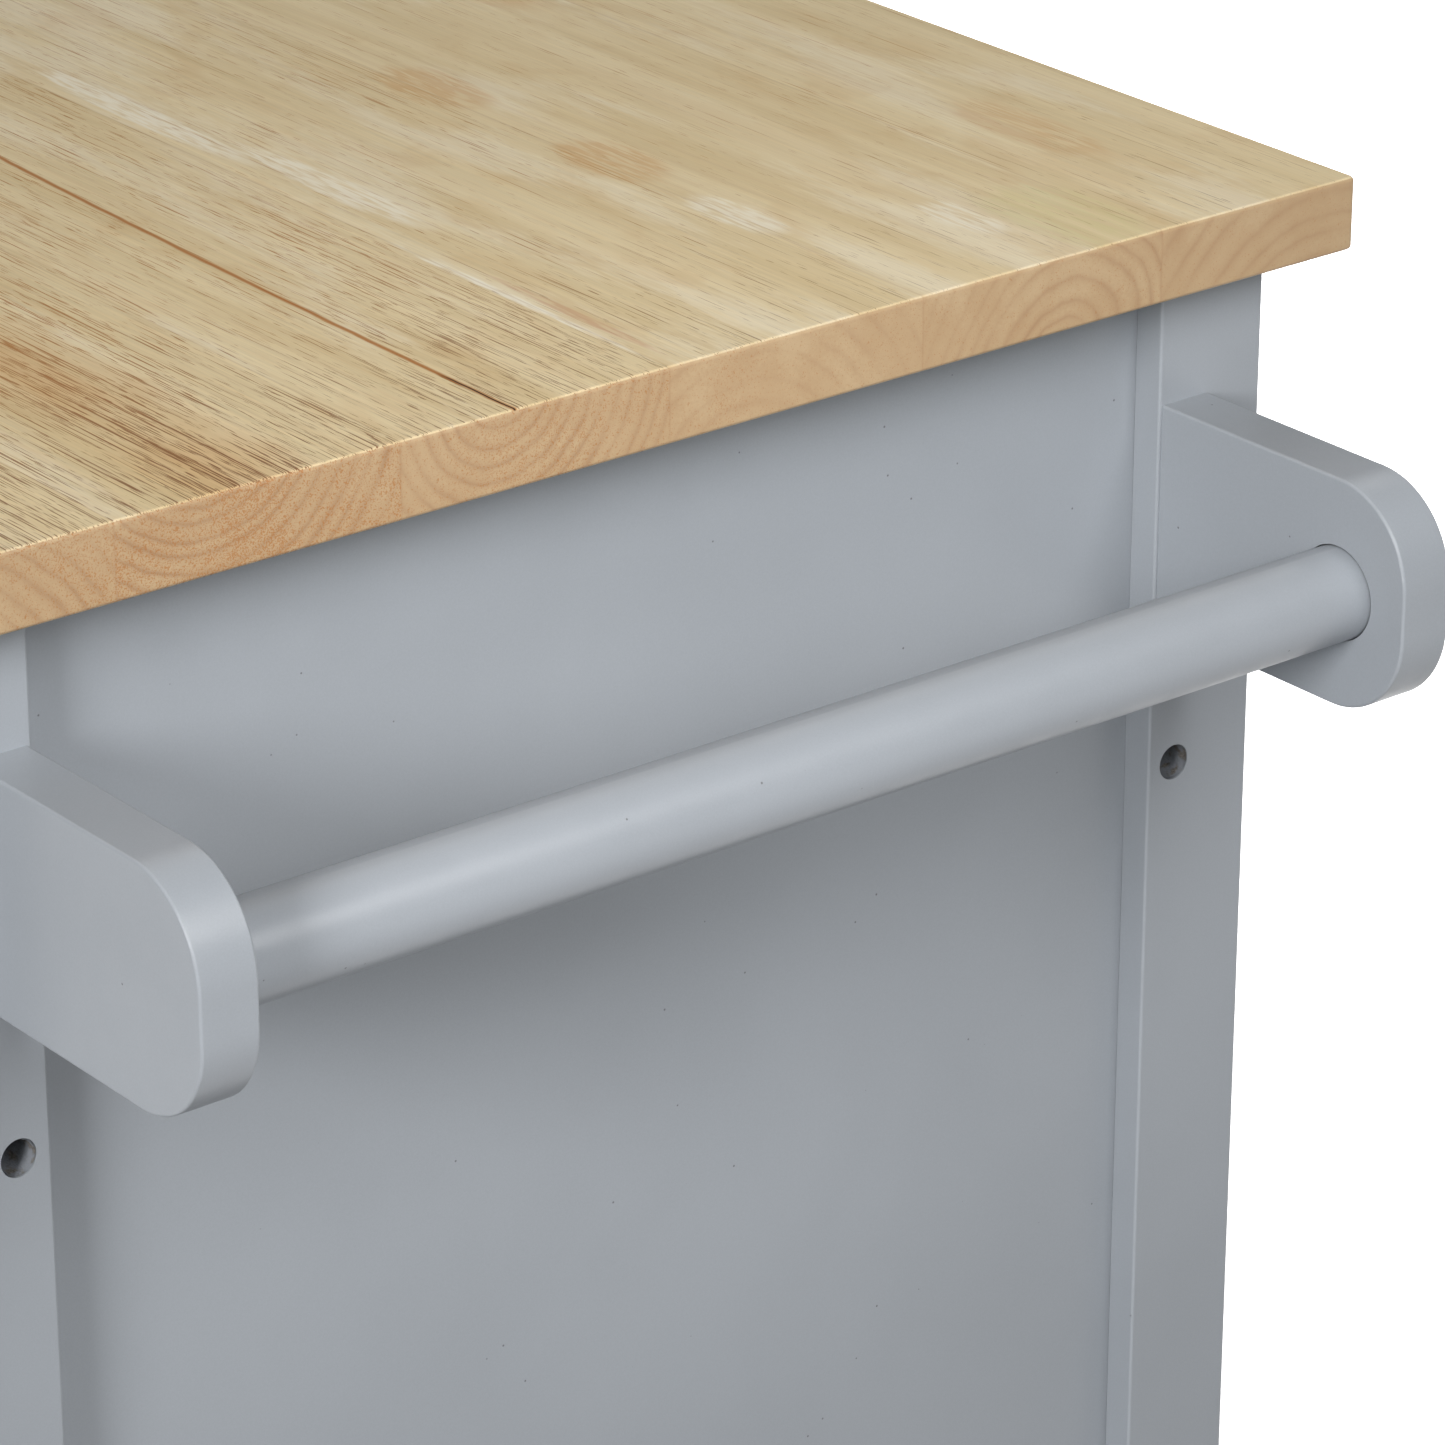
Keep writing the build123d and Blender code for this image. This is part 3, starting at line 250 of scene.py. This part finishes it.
def growth_rings(g, shifted, number, across, up, rings):
    """Rings round each stave's pith, which wanders slowly along the stave: 1 on the dark line."""
    drift = g.times(g.centred(g.noise(g.stretch(shifted, (0.004, 0.0, 0.02)), detail=1.0)), 10.0)
    ripple = g.times(g.centred(g.noise(g.stretch(shifted, (0.012, 0.10, 0.10)), detail=2.0)), 2.4)
    from_pith = g.add(g.add(across, g.times(g.centred(rings[0]), -PITH_SPAN)), drift)
    above_pith = g.add(up, g.times(g.centred(rings[1]), -PITH_SPAN))
    radius = g.math("SQRT", g.add(g.times(from_pith, from_pith), g.times(above_pith, above_pith)))
    turn = g.math("DIVIDE", g.add(radius, ripple), g.times(rings[2], SPACING_SPAN))
    uneven = g.add(turn, g.times(g.noise(g.join(g.times(turn, 0.45), number, 0.0), detail=1.0), 1.4))
    profile = ((0.0, 0.55), (0.12, 0.20), (0.40, 0.0), (0.70, 0.35), (0.90, 1.0), (1.0, 0.55))
    ring = g.ramp(g.math("FRACT", uneven), [(at, (level,) * 3 + (1,)) for at, level in profile])
    return g.split(ring)[0]


def brown_band(g, place, y, streak):
    """A browner band along the second stave, 1 in its middle."""
    wavy = g.add(g.add(y, -BAND_Y), g.times(g.centred(streak), 34.0))
    band = g.remap(g.size(wavy), BAND_HALF_WIDTH, 2.0)
    comes_and_goes = g.noise(g.stretch(place, (0.011, 0.0, 0.0)), detail=1.0)
    return g.times(band, g.remap(comes_and_goes, 0.32, 0.55))


def pores(g, shifted, porous, band, near_end):
    """Thin dashes along the grain, which are dots on the end grain: 1 in a pore."""
    density = g.noise(g.stretch(shifted, (0.006, 0.035, 0.035)), detail=2.0)
    density = g.times(g.add(g.remap(density, 0.3, 0.7), 0.55), g.times(porous, 0.66))
    density = g.add(g.add(density, g.times(band, 0.30)), g.times(g.times(near_end, porous), 0.14))
    threshold = g.add(g.times(density, -0.12), 0.735)
    depth = None
    for length, pitch, phase in PORES:
        lattice = g.stretch(shifted, (1 / length, 1 / pitch, 1 / pitch), (phase, phase, phase))
        level = g.noise(lattice, detail=1.0, roughness=0.45)
        dash = g.times(g.add(level, g.times(threshold, -1.0)), 22.0)
        dash = g.math("MINIMUM", g.math("MAXIMUM", dash, 0.0), 1.0)
        depth = dash if depth is None else g.math("MAXIMUM", depth, dash)
    return depth


def with_marks(g, colour, x, y, ragged, streak, top_face):
    """Places that a glance picks out: cream tongues with stepped ends, flecks and brown mottling."""
    for place_x, place_y, reach, width, tint, strength in MARKS:
        along = g.add(g.add(x, -place_x), g.times(g.centred(ragged), reach * 0.5))
        along = g.times(along, 1 / reach)
        aside = g.add(g.add(y, -place_y), g.times(g.centred(streak), width * 2.0))
        aside = g.times(aside, 1 / width)
        away = g.add(g.times(along, along), g.times(aside, aside))
        mark = g.times(g.remap(away, 1.0, 0.35), g.add(g.remap(ragged, 0.35, 0.60), 0.25))
        colour = g.mix(g.times(g.times(mark, top_face), strength), colour, srgb(*tint))
    return colour


def seam_and_crack(g, place, x, y, top_face):
    """A brown mineral streak that bends across the grain, and the crack that it ends in."""
    beyond = g.add(g.times(x, -1.0), CORNER.x / MM - 6)
    wander = g.centred(g.noise(g.stretch(place, (0.06, 0.0, 0.0)), detail=2.0))
    bend = g.times(g.times(beyond, beyond), SEAM_CURVE)
    line = g.add(g.add(bend, CORNER.y / MM - SEAM_FROM_BACK), wander)
    off_line = g.size(g.add(y, g.times(line, -1.0)))
    seam = g.times(g.remap(off_line, 1.15, 0.20), g.remap(x, SEAM_START_X, SEAM_FULL_X))
    crack_end = CORNER.x / MM - CRACK_LENGTH
    crack = g.times(g.remap(off_line, 0.34, 0.14), g.remap(x, crack_end - 10, crack_end))
    return g.times(seam, top_face), g.times(crack, top_face)


def rubberwood():
    """Six staves cut from different boards: rings on the ends, pores and soft streaks along X."""
    g = Graph("rubberwood")
    place = g.place_mm
    x, y, z = g.split(place)
    up = g.add(z, -(TOP_LOW.z + TOP_HIGH.z) / 2 / MM)
    stave = g.times(g.add(y, -FIRST_GLUE_LINE), 1 / STAVE_PITCH)
    number = g.math("FLOOR", stave)
    across = g.times(g.centred(g.math("FRACT", stave)), STAVE_PITCH)
    rings = stave_table(g, number, (0, 1, 2), lambda v, w, spacing: (
        v / PITH_SPAN + 0.5, w / PITH_SPAN + 0.5, spacing / SPACING_SPAN))
    porous, creamy, ringed = stave_table(g, number, (3, 4, 5), lambda *looks: looks)
    shifted = g.join(x, y, g.add(z, g.times(number, 37.0)))
    end_face = g.remap(g.size(g.split(g.normal)[0]), 0.55, 0.8)
    top_face = g.add(g.times(end_face, -1.0), 1.0)
    near_end = g.remap(x, CORNER.x / MM - 130, CORNER.x / MM)

    # Long soft streaks, slightly paler patches with ragged ends, mottling and hair-fine grain.
    streak = g.noise(g.stretch(shifted, (0.0035, 0.085, 0.085)), detail=4.0, roughness=0.6)
    hair = g.noise(g.stretch(shifted, (0.022, 1.5, 1.5)), detail=3.0, roughness=0.7)
    ragged = g.noise(g.stretch(shifted, (0.09, 0.9, 0.9)), detail=2.0)
    patch = g.noise(g.stretch(shifted, (0.008, 0.045, 0.045)), detail=2.0)
    patch = g.add(g.add(patch, g.times(g.centred(ragged), 0.30)), g.times(g.centred(creamy), 0.25))
    cream = g.remap(patch, 0.50, 0.70)
    mottle = g.noise(g.stretch(shifted, (0.030, 0.055, 0.055)), detail=3.0, distortion=0.8)
    mottle = g.remap(mottle, 0.50, 0.72)
    ring_fade = g.noise(g.stretch(shifted, (0.01, 0.05, 0.05)), detail=2.0)
    ring_tone = g.times(growth_rings(g, shifted, number, across, up, rings), ringed)
    ring_tone = g.times(ring_tone, g.remap(ring_fade, 0.3, 0.7, 0.25, 1.0))

    face = g.mix(g.remap(streak, 0.30, 0.70), srgb(235, 216, 175), srgb(221, 198, 152))
    face = g.mix(g.times(cream, 0.42), face, srgb(248, 238, 214))
    face = g.mix(g.times(mottle, 0.22), face, srgb(205, 165, 108))
    face = g.mix(g.times(ring_tone, 0.20), face, srgb(196, 154, 110))
    ends = g.mix(g.remap(streak, 0.2, 0.8, 0.2, 0.8), srgb(194, 166, 129), srgb(184, 153, 115))
    ends = g.mix(g.times(cream, 0.30), ends, srgb(204, 180, 143))
    ends = g.mix(g.times(ring_tone, 0.72), ends, srgb(158, 118, 82))
    colour = g.mix(end_face, face, ends)
    grain_depth = g.times(g.add(g.times(end_face, -0.6), 1.0), g.add(g.times(porous, 0.7), 0.5))
    fine = g.centred(g.remap(hair, 0.25, 0.75, smooth=False))
    colour = g.shaded(colour, g.add(g.times(fine, g.times(grain_depth, 0.20)), 1.0))

    band = brown_band(g, place, y, streak)
    colour = g.mix(g.times(g.times(band, top_face), 0.50), colour, srgb(206, 158, 98))
    depth = pores(g, shifted, porous, band, near_end)
    dark = g.mix(g.times(near_end, top_face), srgb(176, 116, 58), srgb(122, 70, 28))
    pore_strength = g.add(g.times(end_face, -0.12), g.add(g.times(porous, 0.35), 0.50))
    colour = g.mix(g.times(depth, pore_strength), colour, dark)
    colour = with_marks(g, colour, x, y, ragged, streak, top_face)

    glue = g.remap(g.size(across), STAVE_PITCH / 2 - 0.5, STAVE_PITCH / 2 - 0.1)
    colour = g.mix(g.times(glue, 0.20), colour, srgb(168, 124, 84))
    seam, crack = seam_and_crack(g, place, x, y, top_face)
    colour = g.mix(g.times(seam, 0.92), colour, srgb(178, 112, 44))
    colour = g.mix(crack, colour, srgb(38, 24, 12))

    relief = g.add(g.times(depth, -1.0), g.times(crack, -2.0))
    relief = g.add(g.add(relief, g.times(seam, -0.4)), g.times(hair, 0.30))
    normal = g.bump(relief, 0.05 * MM, 0.7)
    rough = g.add(g.times(depth, 0.25), g.remap(hair, 0.2, 0.8, 0.46, 0.56))
    return g.finish(colour, rough, normal, specular=0.40)


def grey_paint():
    """Sprayed satin paint on sanded board: orange peel, faint clouding and a few dust specks."""
    g = Graph("grey_paint")
    place = g.place_mm
    cloud = g.noise(place, 0.011, detail=3.0)
    grain = g.noise(place, 2.2, detail=2.0, roughness=0.7)
    level = g.add(g.remap(cloud, 0.3, 0.7, 0.97, 1.03), g.times(g.centred(grain), 0.16))
    colour = g.shaded(srgb(160, 165, 171), level)
    specks_apart = 9
    apart, chance = g.cells(place, 1 / specks_apart)
    speck = g.times(g.less(g.split(chance)[0], 0.5), g.remap(apart, 0.045, 0.022))
    colour = g.mix(g.times(speck, 0.7), colour, srgb(74, 72, 70))
    dimple = g.noise(place, 0.55, detail=2.0)
    hand_sanded = g.noise(place, 0.045, detail=2.0)
    relief = g.add(g.times(dimple, 0.30), g.times(grain, 0.16))
    relief = g.add(g.add(relief, g.times(hand_sanded, 3.0)), g.times(speck, 0.5))
    normal = g.bump(relief, 0.07 * MM, 0.8)
    rough = g.remap(g.noise(place, 0.09, detail=3.0), 0.3, 0.7, 0.31, 0.40)
    return g.finish(colour, rough, normal, specular=0.45)


def plain_wood():
    """Bare sanded softwood of the drawer boxes and dowels, with its grain along X."""
    g = Graph("plain_wood")
    place = g.place_mm
    swirl = g.noise(g.stretch(place, (0.004, 0.03, 0.03)), detail=2.0, distortion=0.6)
    bands = g.math("FRACT", g.times(swirl, 11.0))
    early, late, dark = srgb(226, 198, 152), srgb(216, 184, 136), srgb(192, 152, 102)
    tone = g.ramp(bands, [(0.0, early), (0.7, late), (0.93, dark), (1.0, early)])
    fine = g.noise(g.stretch(place, (0.05, 1.4, 1.4)), detail=2.0)
    shade = g.remap(fine, 0.2, 0.8, 0.90, 1.05, smooth=False)
    colour = g.shaded(tone, shade)
    normal = g.bump(fine, 0.05 * MM, 0.7)
    return g.finish(colour, g.remap(fine, 0.2, 0.8, 0.55, 0.68), normal, specular=0.3)


def plated(name, tint, roughness, brushed):
    """Plated steel: fine brushing or a mottled bright plate, with small handling marks."""
    g = Graph(name)
    place = g.place_mm
    stretch = (0.25, 0.25, 14.0) if brushed else (1.2, 1.2, 1.2)
    lines = g.noise(g.stretch(place, stretch), detail=3.0)
    blotch = g.noise(place, 0.13, detail=3.0)
    level = g.add(g.remap(blotch, 0.3, 0.7, 0.90, 1.05), g.times(g.centred(lines), 0.10))
    colour = g.shaded(tint, level)
    rough = g.add(g.remap(blotch, 0.3, 0.7, roughness - 0.05, roughness + 0.07), g.times(lines, 0.06))
    return g.finish(colour, rough, g.bump(lines, 0.01 * MM, 0.6), metallic=1.0)


def moulded(name, tint, roughness, pitch, depth):
    """Rubber or plastic with a fine moulded grain and dusty, slightly worn high spots."""
    g = Graph(name)
    place = g.place_mm
    apart, _ = g.cells(place, 1 / pitch)
    dust = g.remap(g.noise(place, 0.12, detail=4.0), 0.45, 0.75)
    colour = g.mix(g.times(dust, 0.25), tint, srgb(120, 118, 114))
    rough = g.add(g.times(dust, 0.10), g.remap(apart, 0.0, 0.7, roughness, roughness + 0.08))
    return g.finish(colour, rough, g.bump(apart, depth * MM, 0.7), specular=0.4)


def fibreboard_with_painted_shade():
    """The torn inside of a drilled hole, part grey with overspray, its colours darkened in part as
    painted shade of the deep hole.
    """
    g = Graph("fibreboard_with_painted_shade")
    place = g.place_mm
    fuzz = g.noise(place, 1.3, detail=4.0, roughness=0.7)
    overspray = g.remap(g.noise(place, 0.35, detail=2.0), 0.34, 0.52)
    # Painted shade: the dark board colour and the overspray grey, darker than the cabinet's paint,
    # stand in part for the shade inside the hole.
    colour = g.mix(g.remap(fuzz, 0.3, 0.7), srgb(88, 84, 80), srgb(138, 132, 126))
    colour = g.mix(g.times(overspray, 0.90), colour, srgb(136, 141, 148))
    rough = g.remap(fuzz, 0.2, 0.8, 0.75, 0.95)
    return g.finish(colour, rough, g.bump(fuzz, 0.25 * MM, 1.0), specular=0.2)


# ---------------------------------------------------------------- the connector holes' rough lining
HOLE_RADIUS, LINING_DEPTH, HOLE_FROM_CORNER = 5.0, 21.0, 26.5
LINING_ROWS, LINING_SEGMENTS = 14, 40
LINING_START = 0.25        # how far below the post's face the lining begins
LINING_GAP, LINING_BUMP, LINING_SINK = 0.10, 0.34, 0.12


def lining_mesh(name, side, face_x, y, level):
    """A bumpy tube into the post's end face at (face_x, y, level) mm, closer rows near the mouth."""
    mesh = bpy.data.meshes.new(name)
    shape = bmesh.new()
    rings = []
    for row in range(LINING_ROWS):
        inwards = LINING_START + (LINING_DEPTH - LINING_START) * (row / (LINING_ROWS - 1)) ** 1.6
        ring = []
        for step in range(LINING_SEGMENTS):
            turn = tau * step / LINING_SEGMENTS
            bump = noise.noise(Vector((cos(turn) * 2.6, sin(turn) * 2.6, inwards * 0.9 + level + y)))
            lip = 0.25 if row == 0 else 0.0
            reach = HOLE_RADIUS - LINING_GAP - LINING_BUMP * abs(bump) + lip * min(0.0, bump)
            ring.append(shape.verts.new(((face_x - side * (inwards + LINING_SINK * bump)) * MM,
                                         (y + reach * cos(turn)) * MM,
                                         (level + reach * sin(turn)) * MM)))
        rings.append(ring)
    for near, far in zip(rings, rings[1:]):
        for step in range(LINING_SEGMENTS):
            after = (step + 1) % LINING_SEGMENTS
            corners = (near[step], near[after], far[after], far[step])
            shape.faces.new(corners if side == 1 else corners[::-1])
    shape.to_mesh(mesh)
    shape.free()
    for polygon in mesh.polygons:
        polygon.use_smooth = True
    return mesh


def hole_linings():
    """The rough board inside the eight connector holes in the ends of the cabinet."""
    lining_material = fibreboard_with_painted_shade()
    for post in ("front_left", "front_right", "back_left", "back_right"):
        low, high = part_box(post + "_post")
        side = 1 if post.endswith("right") else -1
        face_x = (high.x if side == 1 else low.x) / MM
        front = post.startswith("front")
        y = low.y / MM + HOLE_FROM_CORNER if front else high.y / MM - HOLE_FROM_CORNER
        for rail in ("mid", "bottom"):
            rail_low, rail_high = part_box(rail + "_rails")
            level = (rail_low.z + rail_high.z) / 2 / MM
            mesh = lining_mesh(f"{post}_{rail}_hole_lining", side, face_x, y, level)
            mesh.materials.append(lining_material)
            lining = bpy.data.objects.new(mesh.name, mesh)
            bpy.context.scene.collection.objects.link(lining)
            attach(lining, "cabinet")


MATERIALS = {
    "rubberwood": rubberwood(),
    "grey_paint": grey_paint(),
    "plain_wood": plain_wood(),
    "satin_nickel": plated("satin_nickel", srgb(196, 190, 180), 0.26, True),
    "zinc_steel": plated("zinc_steel", srgb(188, 192, 198), 0.34, False),
    "grey_rubber": moulded("grey_rubber", srgb(58, 58, 60), 0.55, 0.7, 0.03),
    "black_plastic": moulded("black_plastic", srgb(30, 30, 32), 0.42, 0.5, 0.02),
}
SLOTS = {part["node"]: part["material_slot"] for part in frame["record"]["subparts"]}
for node_name, node in NODES.items():
    for material_slot in node.material_slots:
        material_slot.material = MATERIALS[SLOTS[node_name]]


hole_linings()


# ---------------------------------------------------------------- studio
def area_light(name, place, target, size, watts, spread):
    """A round lamp, size in metres and spread in degrees, that the camera doesn't see."""
    data = bpy.data.lights.new(name, "AREA")
    data.shape = "DISK"
    data.size = size
    data.energy = watts
    data.spread = radians(spread)
    lamp = bpy.data.objects.new(name, data)
    bpy.context.scene.collection.objects.link(lamp)
    lamp.location = place
    lamp.rotation_mode = "QUATERNION"
    lamp.rotation_quaternion = (Vector(target) - Vector(place)).to_track_quat("-Z", "Y")
    lamp.visible_camera = False
    return lamp


def studio():
    """A wide pale floor, a faint even sky, and soft lights from the front, the end and above."""
    floor_mesh = bpy.data.meshes.new("studio_floor")
    reach = 30.0
    corners = [(-reach, -reach, 0), (reach, -reach, 0), (reach, reach, 0), (-reach, reach, 0)]
    floor_mesh.from_pydata(corners, [], [(0, 1, 2, 3)])
    floor = bpy.data.objects.new("studio_floor", floor_mesh)
    bpy.context.scene.collection.objects.link(floor)
    g = Graph("pale_floor")
    soft = g.noise(g.place, 0.8, detail=2.0)
    tone = g.mix(soft, srgb(246, 246, 247), srgb(250, 250, 250))
    floor_mesh.materials.append(g.finish(tone, 0.8, specular=0.1, glow=0.72))
    # The glow keeps the floor pale from every side, and mustn't light the cart from below.
    floor.visible_diffuse = False

    world = bpy.data.worlds.new("studio_world")
    world.use_nodes = True
    background = world.node_tree.nodes["Background"]
    background.inputs["Color"].default_value = (1.0, 1.0, 1.0, 1.0)
    background.inputs["Strength"].default_value = 0.11
    bpy.context.scene.world = world

    aim = Vector((CORNER.x, 0.0, CORNER.z - 0.1))
    # The last of these only whitens the floor behind.
    area_light("key", aim + Vector((0.80, -2.0, 0.70)), aim, 0.7, 39, 180)
    area_light("end_softbox", aim + Vector((0.9, 0.2, 0.8)), aim, 0.7, 2.3, 90)
    area_light("end_low", aim + Vector((0.6, -0.2, 0.3)), aim, 0.4, 0.20, 60)
    area_light("overhead", Vector((-0.5, 0.1, 2.9)), (-0.2, 0.0, 0.9), 1.8, 4, 180)
    area_light("backdrop", Vector((-2.2, 3.2, 3.4)), (-2.2, 3.2, 0.0), 3.2, 150, 110)


def camera():
    """Stands off the worktop's back right corner: to its right, in front of it and above it."""
    azimuth, elevation, roll = radians(51.42), radians(23.73), radians(0.02)
    stand_off = Vector((1.1129, -1.0986, 0.5285))
    back = Vector((sin(azimuth) * cos(elevation), -cos(azimuth) * cos(elevation), sin(elevation)))
    right = (-back).cross(Vector((0, 0, 1))).normalized()
    up = right.cross(-back)
    turned_right = right * cos(roll) + up * sin(roll)
    turned_up = -right * sin(roll) + up * cos(roll)
    data = bpy.data.cameras.new("camera")
    data.lens = 156.9
    data.sensor_width = 36.0
    data.clip_start = 0.05
    data.clip_end = 100.0
    eye = bpy.data.objects.new("camera", data)
    bpy.context.scene.collection.objects.link(eye)
    eye.matrix_world = Matrix.Translation(CORNER + stand_off) @ Matrix(
        (turned_right, turned_up, back)).transposed().to_4x4()
    bpy.context.scene.camera = eye


studio()
camera()
bpy.context.scene.view_settings.view_transform = "Standard"
